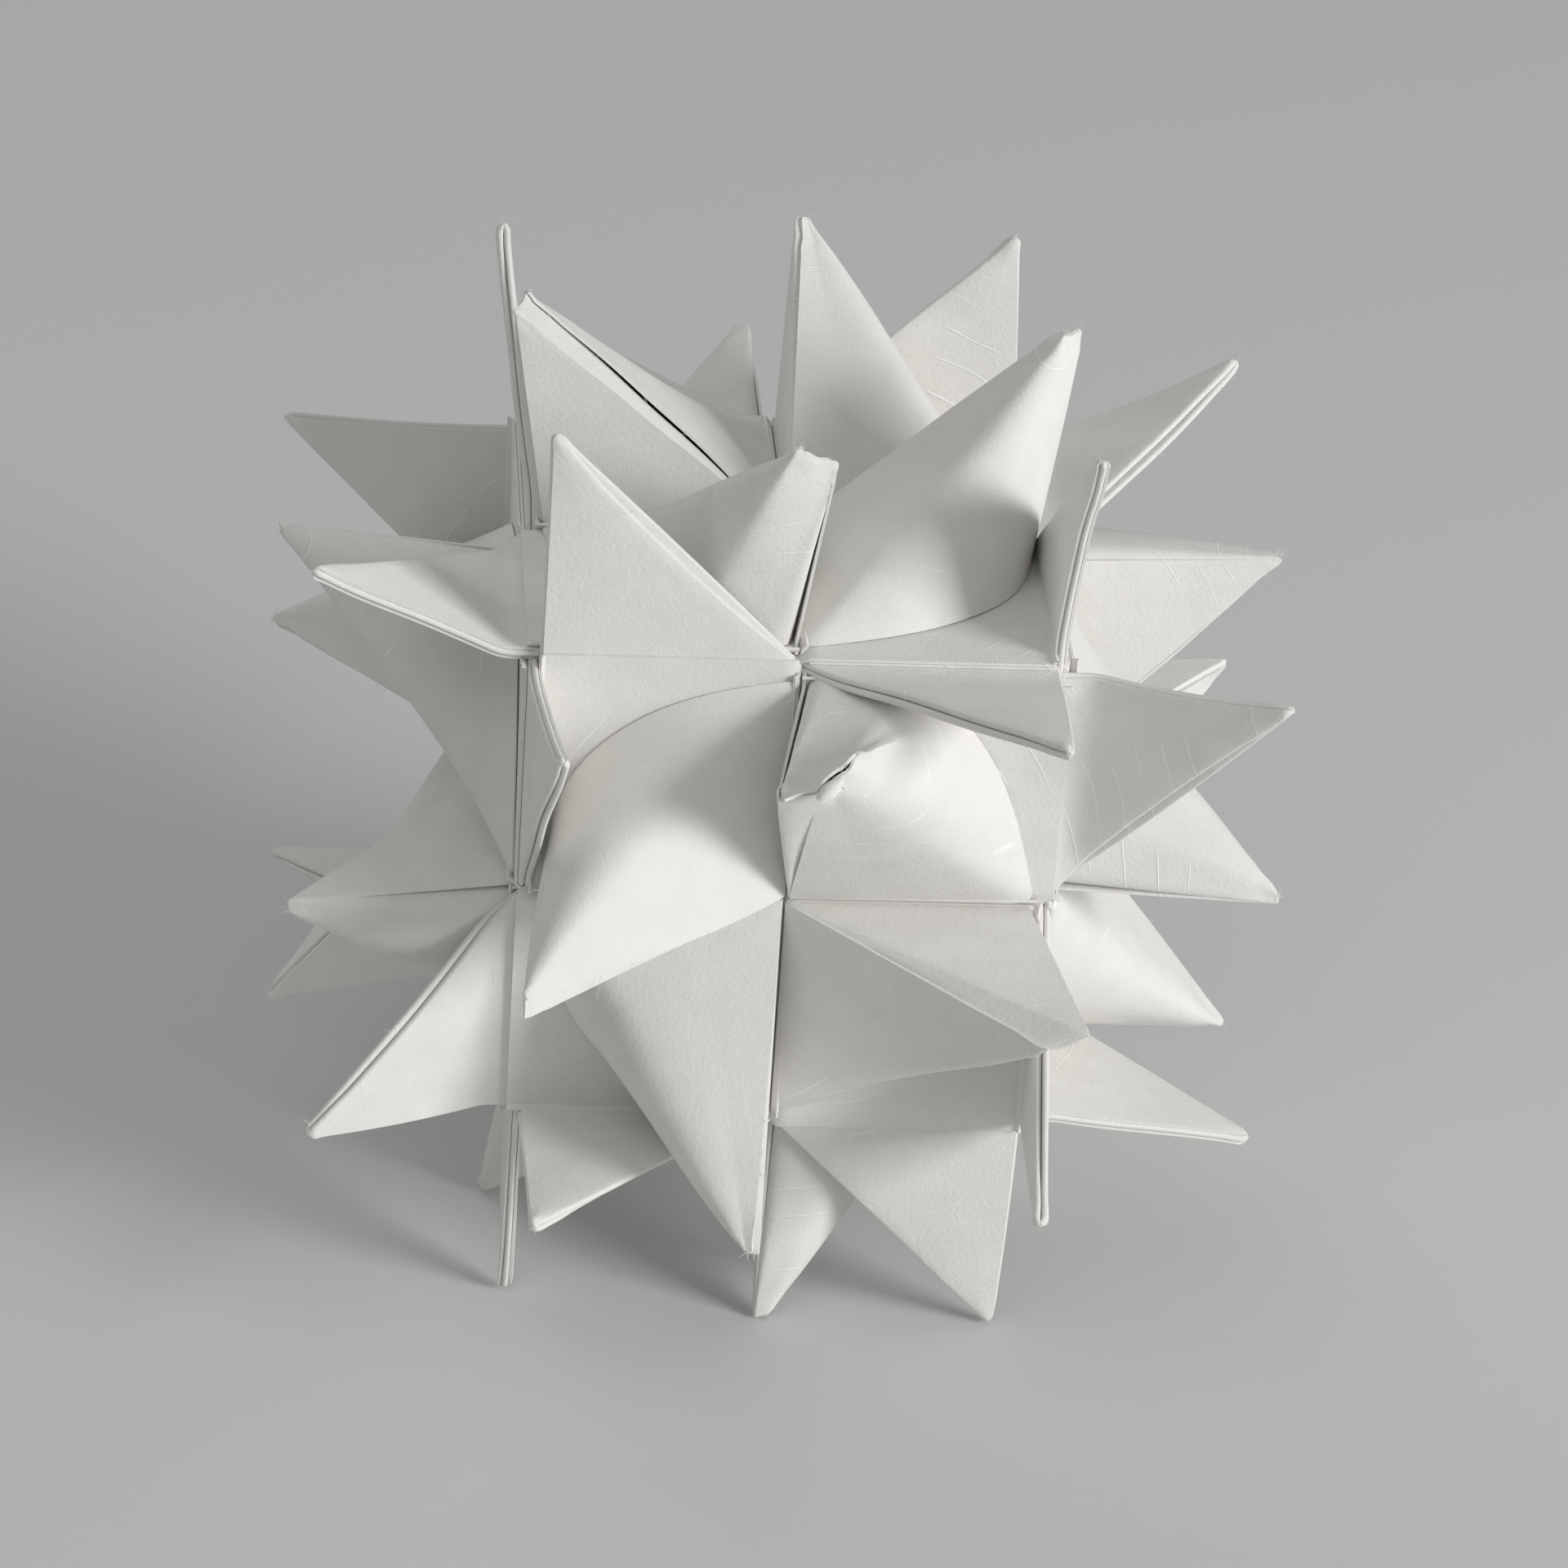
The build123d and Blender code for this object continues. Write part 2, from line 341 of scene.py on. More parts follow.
def folded_profile(
    widths: list[np.ndarray], pitch: float, flat: int, bend: int
) -> tuple[np.ndarray, np.ndarray]:
    """Cross-section of a strip folded to and fro: flat runs joined by half-turns.

    A run goes from one fold to the next, and each half-turn is a semicircle whose
    diameter is the distance between two layers.

    Args:
        widths: distance across of each fold and of both ends, one value per row.
        pitch: distance between layers.
        flat: points on each run.
        bend: points on each half-turn.

    Returns:
        Two arrays, rows by columns: distance across, and height over the first layer.
    """
    across, height = [], []
    radius = pitch / 2
    angle = np.radians(np.linspace(-90, 90, bend + 2)[1:-1])
    share = np.linspace(0, 1, flat)
    for layer, (begin, end) in enumerate(zip(widths[:-1], widths[1:])):
        across.append(begin[:, None] * (1 - share) + end[:, None] * share)
        height.append(np.full((len(begin), flat), layer * pitch))
        if layer < len(widths) - 2:
            side = 1 if layer % 2 == 0 else -1
            across.append(end[:, None] + side * np.cos(angle) * radius)
            rise = layer * pitch + radius + np.sin(angle) * radius
            height.append(np.broadcast_to(rise, (len(begin), bend)))
    return np.concatenate(across, axis=1), np.concatenate(height, axis=1)


def through(corners: list[tuple[float, float]], steps: int) -> np.ndarray:
    """Smooth curve through given points, evenly spaced along its length.

    Between two points it is the cubic whose slopes are half the way from the point
    before to the point after.

    Args:
        corners: points in order.
        steps: number of points to return.

    Returns:
        Array of points.
    """
    p = np.array(corners, float)
    p = np.concatenate([2 * p[:1] - p[1:2], p, 2 * p[-1:] - p[-2:-1]])
    t = np.linspace(0, 1, 16, endpoint=False)[:, None]
    pieces = []
    for p0, p1, p2, p3 in zip(p[:-3], p[1:-2], p[2:-1], p[3:]):
        square = 2 * p0 - 5 * p1 + 4 * p2 - p3
        cube = 3 * p1 - p0 - 3 * p2 + p3
        pieces.append(0.5 * (2 * p1 + (p2 - p0) * t + square * t**2 + cube * t**3))
    dense = np.concatenate([*pieces, p[-2:-1]])
    run = np.concatenate([[0], np.cumsum(np.linalg.norm(np.diff(dense, axis=0), axis=1))])
    even = np.linspace(0, run[-1], steps)
    return np.stack([np.interp(even, run, dense[:, i]) for i in range(p.shape[1])], axis=-1)


def soften(line: np.ndarray, width: float) -> np.ndarray:
    """Round the turns of a line of points, with its two ends kept.

    Each point becomes the mean of its neighbours, weighted by a bell curve, and the
    line is mirrored through its ends.

    Args:
        line: points in order.
        width: of the bell curve, in points.

    Returns:
        Softened points.
    """
    reach = int(width * 3)
    before = 2 * line[0] - line[reach:0:-1]
    after = 2 * line[-1] - line[-2 : -reach - 2 : -1]
    padded = np.concatenate([before, line, after])
    bell = np.exp(-0.5 * (np.arange(-reach, reach + 1) / width) ** 2)
    bell /= bell.sum()
    return np.stack([np.convolve(padded[:, i], bell, mode="valid") for i in range(line.shape[1])], axis=-1)


@dataclass(frozen=True)
class PointShape:
    """What all flat points have in common.

    sunk_mm is how far a point starts below its foot, cut_mm how much its tip is short
    of a sharp one, and narrowest_mm its least width. back_mm is the least distance, and
    the most more, by which one fold stays back from the other, and outer_chance how
    often that is the outer fold. lip_mm is how far the straight folds may stand out,
    drift_mm how far a tip leaves its layer, and rounded the share of the length over
    which the end is rounded off.
    """

    sunk_mm: float = 1.2
    cut_mm: float = 0.2
    narrowest_mm: float = 0.30
    back_mm: tuple[float, float] = (0.25, 0.6)
    outer_chance: float = 0.7
    lip_mm: float = 0.12
    drift_mm: float = 0.3
    rounded: float = 0.018


@dataclass(frozen=True)
class ConeShape:
    """What all cones have in common.

    corner_width and round_width are how far the mouth's loop, and the rounder loop the
    rays aim at, are softened, in points of the loop. round_from is the place along the
    loop from which it is rounder, and round_over the distance over which it becomes so.
    belly is how far the sides swell and lap how far the loose cut edge lies over the
    crease, both in strip widths.
    """

    corner_width: float = 0.8
    round_width: float = 7.0
    round_from: float = 0.42
    round_over: float = 0.14
    belly: float = 0.022
    lap: float = 0.013


@dataclass(frozen=True)
class LooseFibre:
    """Sizes and numbers of the fibres that stand out from cut and worn edges.

    Most have a length in the range short_mm and the rest one in long_mm. Within
    tip_zone_mm of where the longest points end, none is longer than tip_longest_mm.
    on_edge, on_tip and on_tear are how many stand on an edge, a cone's tip and a tear.
    """

    radius_mm: float = 0.014
    wall_mm: float = 0.006
    short_mm: tuple[float, float] = (0.25, 0.9)
    long_mm: tuple[float, float] = (1.2, 2.2)
    short_share: float = 0.85
    tip_zone_mm: float = 2.5
    tip_longest_mm: float = 0.6
    on_edge: int = 5
    on_tip: int = 7
    on_tear: int = 14


@dataclass
class StarStrip:
    """One folded strip with its bands, two flat points and two cones."""

    name: str
    turn: np.ndarray
    seed: int
    point_shape: PointShape = PointShape()
    cone_shape: ConeShape = ConeShape()
    fibre: LooseFibre = LooseFibre()

    def key(self, face: Face, towards: tuple[int, int, int]) -> tuple[Side, Side]:
        """Face and side, in the ball, of one of this strip's points or cones."""
        return Side.facing(self.turn @ np.array(face.outward)), Side.facing(self.turn @ np.array(towards))

    def build(self, finish: bpy.types.Material) -> bpy.types.Object:
        """Make the strip's object.

        Args:
            finish: the paper.

        Returns:
            The object, riding on the ball and replacing the strip's solid.
        """
        shell = Shell()
        self.bands(shell)
        for order, (face, tail, end) in enumerate(((BOTTOM, 3, 3), (BACK, 4, 2))):
            self.flat_point(shell, face, tail, self.seed * 10 + order)
            self.cone(shell, face, tail, end, self.seed * 10 + 5 + order)
        mesh = shell.mesh(self.name, self.turn)
        mesh.materials.append(finish)
        piece = bpy.data.objects.new(self.name, mesh)
        bpy.context.scene.collection.objects.link(piece)
        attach(piece, "root")
        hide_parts(self.name.removesuffix("_paper"))
        return piece

    def bands(self, shell: Shell) -> None:
        """Plaited bands: a side view carried across the strip's width.

        The side view is a path of straight runs whose corners are cut to short slopes.
        The outer side of a band reaches further where it lies over another band.

        Args:
            shell: to add them to.
        """
        low, high = HALF_GAP - 0.05, -HALF_GAP
        out = FACE_HEIGHT + 0.1
        outer_side = self.smooth_path([
            (-out, -level(0)),
            (-level(5) - 0.3, -level(0)),
            (-level(5), -level(0) + 0.25),
            (-level(5), high - 0.4),
            (-level(2), low + 0.4),
            (-level(2), EDGE),
        ])
        inner_side = self.smooth_path([
            (-level(1), EDGE),
            (-level(1), low + 0.4),
            (-level(4), high - 0.4),
            (-level(4), -level(1) + 0.4),
            (-level(4) + 0.4, -level(1)),
            (-low - 0.4, -level(1)),
            (-high + 0.4, -level(5)),
            (level(1) - 0.25, -level(5)),
            (level(1), -level(5) - 0.3),
            (level(1), -out),
        ])
        share = np.linspace(0, 1, 15)
        for line in (outer_side, inner_side):
            over = ease((np.abs(line).max(axis=1) - level(2)) / (2 * LAYER))
            outer = EDGE + over * (FACE_HEIGHT - 0.2 - EDGE)
            grid = np.empty((len(line), len(share), 3))
            grid[..., 0] = -HALF_GAP - share[::-1] * (outer[:, None] - HALF_GAP)
            grid[..., 1] = line[:, None, 0]
            grid[..., 2] = line[:, None, 1]
            shell.add(grid)

    @staticmethod
    def smooth_path(corners: list[tuple[float, float]], step: float = 0.6) -> np.ndarray:
        """Points along a path of straight runs at a given step, with each corner kept.

        Args:
            corners: of the path.
            step: greatest distance between points.

        Returns:
            Array of points.
        """
        out = [np.array(corners[:1], float)]
        for (ax, ay), (bx, by) in zip(corners[:-1], corners[1:]):
            length = math.hypot(bx - ax, by - ay)
            share = np.linspace(0, 1, max(2, math.ceil(length / step) + 1))[1:, None]
            out.append(np.array([ax, ay]) * (1 - share) + np.array([bx, by]) * share)
        return np.concatenate(out)

    def flat_point(self, shell: Shell, face: Face, tail: int, seed: int) -> None:
        """Flat point: a strip folded to and fro in four layers that narrow towards a tip.

        A row is a cross-section at one distance from the tip; its width falls in
        proportion to that distance, so the long edge runs at 45 degrees. One of the two
        inner folds stays back a little, and the end of the point is rounded off.

        Args:
            shell: to add it to.
            face: of the cube it lies in.
            tail: number of the layer in which its tail goes back under the plait.
            seed: of its small differences.
        """
        pose = POINTS[self.key(face, face.up)]
        shape = self.point_shape
        rng = np.random.default_rng(seed)
        foot, tip = FACE_HEIGHT, FACE_HEIGHT + REACH
        share = np.concatenate([np.linspace(0, 0.97, 28), [0.98, 0.99, 0.996, 1.0]])
        up = foot - shape.sunk_mm + (tip - foot + shape.sunk_mm - shape.cut_mm) * share
        reach = np.clip((up - foot) / WIDTH, 0, 1)
        width = np.clip(tip - up, shape.narrowest_mm, WIDTH - 0.1)
        least, more = shape.back_mm
        back = (least + more * rng.random()) * np.sin(np.pi * reach**0.8) * np.minimum(1, width / 3)
        outer_stays_back = rng.random() < shape.outer_chance
        slant = width - back if outer_stays_back else width
        inner = width if outer_stays_back else width - back
        edge = 0 * width
        lip = shape.lip_mm * rng.random() * np.sin(np.pi * reach) + edge
        folds = [edge, inner, edge + lip, slant, edge + 0.5 * lip]
        across, height = folded_profile(folds, LAYER, RUN, HALF_TURN)
        rise = np.broadcast_to(up[:, None], across.shape).copy()
        reach = np.broadcast_to(reach[:, None], across.shape)
        middle = np.sin(np.pi * np.clip(across / width[:, None], 0, 1))
        spread = (height / (3 * LAYER) - 0.5) * 2
        out = height + spread * middle * pose.swell_mm * ease(reach * 3)
        blunt = np.sqrt(np.clip((1.0 - share) / shape.rounded, 0.02, 1))[:, None]
        across = (across - 0.15) * blunt + 0.15
        out = (out - 1.5 * LAYER) * blunt + 1.5 * LAYER
        out = out + level(tail - 3) + rng.normal() * shape.drift_mm * reach**2
        right = -EDGE + 0.05 + across
        local = np.stack([right, rise, out], axis=-1)
        local[..., 2] += Ripple(seed, 8.0, 0.10)(local) * reach
        local = self.bend_point(local, foot, pose, rng)
        local += crumple(local, seed) * ease((reach[..., None] - 0.8) / 0.2)
        placed = face.place(local)
        shell.add(placed)
        first_fold, tip_end = placed[3:-2, RUN + HALF_TURN // 2], placed[-4:, RUN + HALF_TURN]
        self.fuzz(shell, first_fold, self.fibre.on_edge, rng)
        self.fuzz(shell, tip_end, self.fibre.on_edge, rng)
        self.point_tail(shell, face, tail)

    @staticmethod
    def point_tail(shell: Shell, face: Face, tail: int) -> None:
        """Tail of a flat point: a plain sheet from under its foot to the face's middle line.

        Args:
            shell: to add it to.
            face: of the cube it lies in.
            tail: number of its layer.
        """
        grid = np.empty((12, 9, 3))
        grid[..., 0] = -PITCH / 2 + (np.linspace(0, 1, 9) - 0.5) * WIDTH
        grid[..., 1] = np.linspace(FACE_HEIGHT - 0.6, 0.1, 12)[:, None]
        grid[..., 2] = level(tail) - 0.03
        shell.add(face.place(grid[::-1]))

    @staticmethod
    def bend_point(local: np.ndarray, foot: float, pose: PointPose, rng: np.random.Generator) -> np.ndarray:
        """Bend a flat point out of its face: the turn grows from the foot over a short run, then slowly.

        Args:
            local: positions as right, up and outward distances.
            foot: height of the fold line.
            pose: the bend's size.
            rng: source of small differences between points.

        Returns:
            Bent positions.
        """
        over = np.maximum(local[..., 1] - foot, 0.0)
        tilt = math.radians(pose.tilt_deg)
        curl = math.radians(pose.curl_deg + rng.normal() * 3.0)
        steps = 40
        s = np.linspace(0, WIDTH * 1.05, steps)
        angle = tilt * ease(s / 2.0) + curl * (s / WIDTH) ** 1.5
        run = np.concatenate([[0], np.cumsum(np.cos(angle[:-1])) * (s[1] - s[0])])
        lift = np.concatenate([[0], np.cumsum(np.sin(angle[:-1])) * (s[1] - s[0])])
        at = np.interp(over, s, angle)
        depth = local[..., 2] - PITCH
        bent = local.copy()
        beyond = local[..., 1] > foot
        bent[..., 1] = np.where(beyond, foot + np.interp(over, s, run) - depth * np.sin(at), local[..., 1])
        bent[..., 2] = np.where(beyond, PITCH + np.interp(over, s, lift) + depth * np.cos(at), local[..., 2])
        bent[..., 0] += pose.swing_mm * (over / WIDTH) ** 1.5
        return bent

    def cone(self, shell: Shell, face: Face, tail: int, end: int, seed: int) -> None:
        """Rolled cone with its loose fibres, and the sheets at its foot.

        Args:
            shell: to add them to.
            face: of the cube it stands on.
            tail: number of the layer that it comes out of.
            end: number of the layer that it goes into.
            seed: of its small differences.
        """
        pose = CONES[self.key(face, tuple(-v for v in face.right))]
        rng = np.random.default_rng(seed)
        placed = face.place(self.cone_skin(pose, seed, rng))
        shell.add(placed)
        cut_edge, upper_ends = placed[-1, 1:-6], placed[STANDING + CREASE + 5 :, 0]
        self.fuzz(shell, cut_edge, self.fibre.on_edge, rng)
        self.fuzz(shell, upper_ends, self.fibre.on_tear if pose.torn else self.fibre.on_tip, rng)
        if pose.torn:
            shell.add(face.place(self.torn_curl()))
        self.cone_foot(shell, face, tail, end)

    def cone_skin(self, pose: ConePose, seed: int, rng: np.random.Generator) -> np.ndarray:
        """Sheet of a cone: straight rays from its tip to its mouth, as paper curls without stretching.

        The strip stands up as a flat triangle, folds over at the ray to the face's centre
        with a narrow ribbon there, runs round the cone, and goes flat again into the
        next slot. Away from the mouth the rays aim at a rounder loop than the mouth is.

        Args:
            pose: of the cone.
            seed: of the paper's unevenness.
            rng: source of small differences.

        Returns:
            Positions to the face's right, up and outward, rays by points by three.
        """
        shape = self.cone_shape
        mouth = self.mouth(rng)
        slot = np.stack([0 * mouth[:14, 0], np.linspace(0.97, 0.0, 14)], axis=-1)
        ring = soften(np.concatenate([mouth, slot[1:]]), shape.corner_width)
        turned = ease((np.linspace(0, 1, len(ring)) - shape.round_from) / shape.round_over)[:, None]
        full = ring + (soften(ring, shape.round_width) - ring) * turned
        before = np.stack([np.linspace(-0.965, 0, STANDING), np.zeros(STANDING)], axis=-1)
        standing = np.concatenate([before, np.zeros((CREASE, 2))])
        rays = len(standing)
        ends = np.concatenate([standing, ring])
        rounder = np.concatenate([standing, full])
        order = np.concatenate([np.zeros(rays), np.linspace(0, 1, len(ring))])
        starts = self.torn_starts(order, rng) if pose.torn else self.blunt_starts(order, pose)
        share = np.concatenate([[0.0, 0.006, 0.016], np.linspace(0.03, 1, 30)])[None, :, None]
        flat = share**4
        base = ends[:, None] * flat + rounder[:, None] * (1 - flat)
        base = np.concatenate([base, 0 * base[..., :1]], axis=-1)
        local = starts[:, None] * (1 - share) + base * share
        away = unit(local - local[rays:].mean(axis=0, keepdims=True))
        bulge = np.sin(np.pi * share**0.8) * np.sin(np.pi * np.clip(order * 1.6 - 0.5, 0, 1))[:, None, None]
        local = local + away * shape.belly * bulge
        lap = (np.clip((order - 0.93) / 0.07, 0, 1) * shape.lap)[:, None, None]
        local = local + lap * np.array([0.7, -1.9, 0.7]) * np.clip(1 - share, 0, 1) ** 0.5
        spring = ease((order - 0.78) / 0.22)[:, None, None] * np.sin(np.pi * share)
        local = local + spring * np.array([0.7, 0.1, 0.7]) * pose.spring_mm / WIDTH
        local = self.settle(local * WIDTH, pose) + CONE_BASE
        local[..., 2] += Ripple(seed, 7.0, 0.05)(local) * ease((local[..., 2] - FACE_HEIGHT) / 3)
        return local + crumple(local, seed) * ease(1 - share * 6)

    def cone_foot(self, shell: Shell, face: Face, tail: int, end: int) -> None:
        """Sheets at a cone's foot: a low riser out of its pocket and the strip's end in the next one.

        Args:
            shell: to add them to.
            face: of the cube it stands on.
            tail: number of the layer that it comes out of.
            end: number of the layer that it goes into.
        """
        _, forward, base = CONE_BASE
        riser = np.empty((4, 10, 3))
        riser[..., 0] = np.linspace(-HALF_GAP - WIDTH, -HALF_GAP, 10)
        riser[..., 1] = forward
        riser[..., 2] = np.linspace(level(tail), base, 4)[:, None]
        shell.add(face.place(riser))
        line = self.smooth_path([
            (-HALF_GAP - 0.3, FACE_HEIGHT + 0.3),
            (-0.12, FACE_HEIGHT - 0.05),
            (0.05, level(end)),
            (WIDTH - 1.5, level(end)),
        ])
        grid = np.empty((len(line), 12, 3))
        grid[..., 0] = line[:, None, 0]
        grid[..., 1] = np.linspace(0.3, EDGE, 12)
        grid[..., 2] = line[:, None, 1]
        shell.add(face.place(grid))

    def fuzz(self, shell: Shell, edge: np.ndarray, count: int, rng: np.random.Generator) -> None:
        """Loose paper fibres on a cut or worn edge: thin tubes along curves that bend to one side.

        A fibre leaves its root roughly away from the ball's middle and bends in
        proportion to the square of the distance gone.

        Args:
            shell: to add them to.
            edge: places where they may grow.
            count: how many.
            rng: source of places, lengths and directions.
        """
        fibre = self.fibre
        around = np.linspace(0, 2 * math.pi, 6)
        s = np.linspace(0, 1, 8)[:, None]
        for root in edge[rng.integers(0, len(edge), count)]:
            heading = unit(unit(root) * 0.6 + rng.normal(size=3) * 0.7)
            bend = np.cross(heading, rng.normal(size=3))
            span = fibre.short_mm if rng.random() < fibre.short_share else fibre.long_mm
            length = rng.uniform(*span)
            if np.abs(root).max() > FACE_HEIGHT + REACH - fibre.tip_zone_mm:
                length = min(length, fibre.tip_longest_mm)
            path = root + heading * length * s * 0.8 + bend * length * 0.35 * s**2
            side = unit(np.cross(heading, bend))
            other = np.cross(heading, side)
            radius = fibre.radius_mm * (1 - 0.6 * s)[..., None]
            ring = np.cos(around)[:, None] * side + np.sin(around)[:, None] * other
            shell.add(path[:, None] + radius * ring, fibre.wall_mm)

    @staticmethod
    def mouth(rng: np.random.Generator) -> np.ndarray:
        """Mouth of a cone on its square: a smooth loop from the face's centre to the next slot.

        Args:
            rng: source of small differences between cones.

        Returns:
            Points in strip widths, as right and up distances.
        """
        corners = [
            (0, 0),
            (0.2, 0.012),
            (0.5, 0.012),
            (0.88, 0.012),
            (0.955, 0.014),
            (0.99, 0.05),
            (0.98, 0.2),
            (0.94, 0.38),
            (0.86, 0.53),
            (0.73, 0.66),
            (0.54, 0.78),
            (0.3, 0.88),
            (0.0, 0.97),
        ]
        loop = through(corners, 60) * np.array([-1.0, 1.0])
        share = np.linspace(0, 1, 60)
        wave = rng.normal(size=3) * 0.012
        swing = sum(wave[k] * np.sin((k + 1) * np.pi * share) for k in range(3))
        loop += unit(loop - np.array([-0.45, 0.4])) * (swing * np.clip(share * 3, 0, 1))[:, None]
        return np.minimum(loop, np.array([0.0, 1.0]))

    @staticmethod
    def blunt_starts(order: np.ndarray, pose: ConePose) -> np.ndarray:
        """Upper ends of the rays of a whole cone, which run to and fro along its blunt edge.

        The paper goes along the edge at the crease, back along it against the standing
        triangle, and along it again as a narrow facet before it curls.

        Args:
            order: place of each ray along the loop, nought on the standing triangle.
            pose: shift and blunt edge of the tip.

        Returns:
            Points in strip widths.
        """
        at = np.interp(order, [0, 0.02, 0.33, 0.36, 0.45, 1], [1, 1, 0, 0, 1, 1])
        at[:STANDING] = 0.0
        at[STANDING : STANDING + CREASE] = (0.1, 0.5, 0.9)
        return np.array([-1.0, 0.0, REACH / WIDTH]) + at[:, None] * np.array(pose.blunt_mm) / WIDTH

    @staticmethod
    def torn_starts(order: np.ndarray, rng: np.random.Generator) -> np.ndarray:
        """Upper ends of the rays of the torn cone: a ragged line across it, lip over lip.

        A line through a few given points, moved along by a sum of sine waves.

        Args:
            order: place of each ray along the loop, nought on the standing triangle.
            rng: source of the ragged edge.

        Returns:
            Points in strip widths.
        """
        # Place along the loop, and the tear there to the face's right, up and outward
        tear = np.array([
            (0.00, -0.87, -0.07, 0.805),
            (0.02, -0.885, 0.10, 0.765),
            (0.10, -0.87, 0.12, 0.735),
            (0.33, -0.86, -0.13, 0.80),
            (0.37, -0.85, -0.12, 0.82),
            (0.42, -0.92, 0.01, 0.83),
            (0.47, -0.985, 0.09, 0.78),
            (0.52, -1.02, 0.17, 0.71),
            (0.60, -0.96, 0.13, 0.73),
            (0.80, -0.92, 0.08, 0.755),
            (1.00, -0.90, 0.05, 0.77),
        ])
        line = np.stack([np.interp(order, tear[:, 0], tear[:, i]) for i in (1, 2, 3)], axis=-1)
        crease = [(-0.86, -0.125, 0.80), (-0.863, -0.11, 0.802), (-0.866, -0.09, 0.804)]
        line[:STANDING] = (-0.86, -0.135, 0.80)
        line[STANDING : STANDING + CREASE] = crease
        phase = rng.uniform(0, 6.28, 3)
        waves = enumerate((75, 170, 330))
        jag = sum(0.011 / (k + 1) * np.sin(order * wave + phase[k]) for k, wave in waves)
        jag = jag * (ease((order - 0.33) / 0.03) * ease((0.56 - order) / 0.05) + (order < 0.02))
        return line + jag[:, None] * np.array([-0.5, 0.3, 0.8])

    @staticmethod
    def torn_curl() -> np.ndarray:
        """Small curl of paper that the tear left on the edge: half a turn of a thin tapering roll.

        A point lies at the roll's middle line, plus its radius times the cosine and the
        sine of the angle turned along the two directions across it.

        Returns:
            Positions to the face's right, up and outward, along by around by three.
        """
        along, around = np.meshgrid(np.linspace(0, 1, 14), np.linspace(0, 3.6, 12), indexing="ij")
        radius = 0.40 * np.sin(np.pi * (0.15 + 0.8 * along))
        begin, end = np.array([-0.915, 0.005, 0.842]), np.array([-0.985, 0.09, 0.792])
        axis = unit(end - begin)
        side = unit(np.cross(axis, (0.0, 0.3, 1.0)))
        out = np.cross(side, axis)
        middle = (begin * (1 - along[..., None]) + end * along[..., None]) * WIDTH
        across = np.cos(around)[..., None] * side + np.sin(around)[..., None] * out
        return middle + radius[..., None] * across + CONE_BASE

    @staticmethod
    def settle(local: np.ndarray, pose: ConePose) -> np.ndarray:
        """Lean a cone: each point moves in proportion to its height over the face."""
        share = np.clip(local[..., 2] / WIDTH, 0, 1)[..., None]
        return local + np.array([pose.right_mm, pose.up_mm, pose.out_mm]) * share


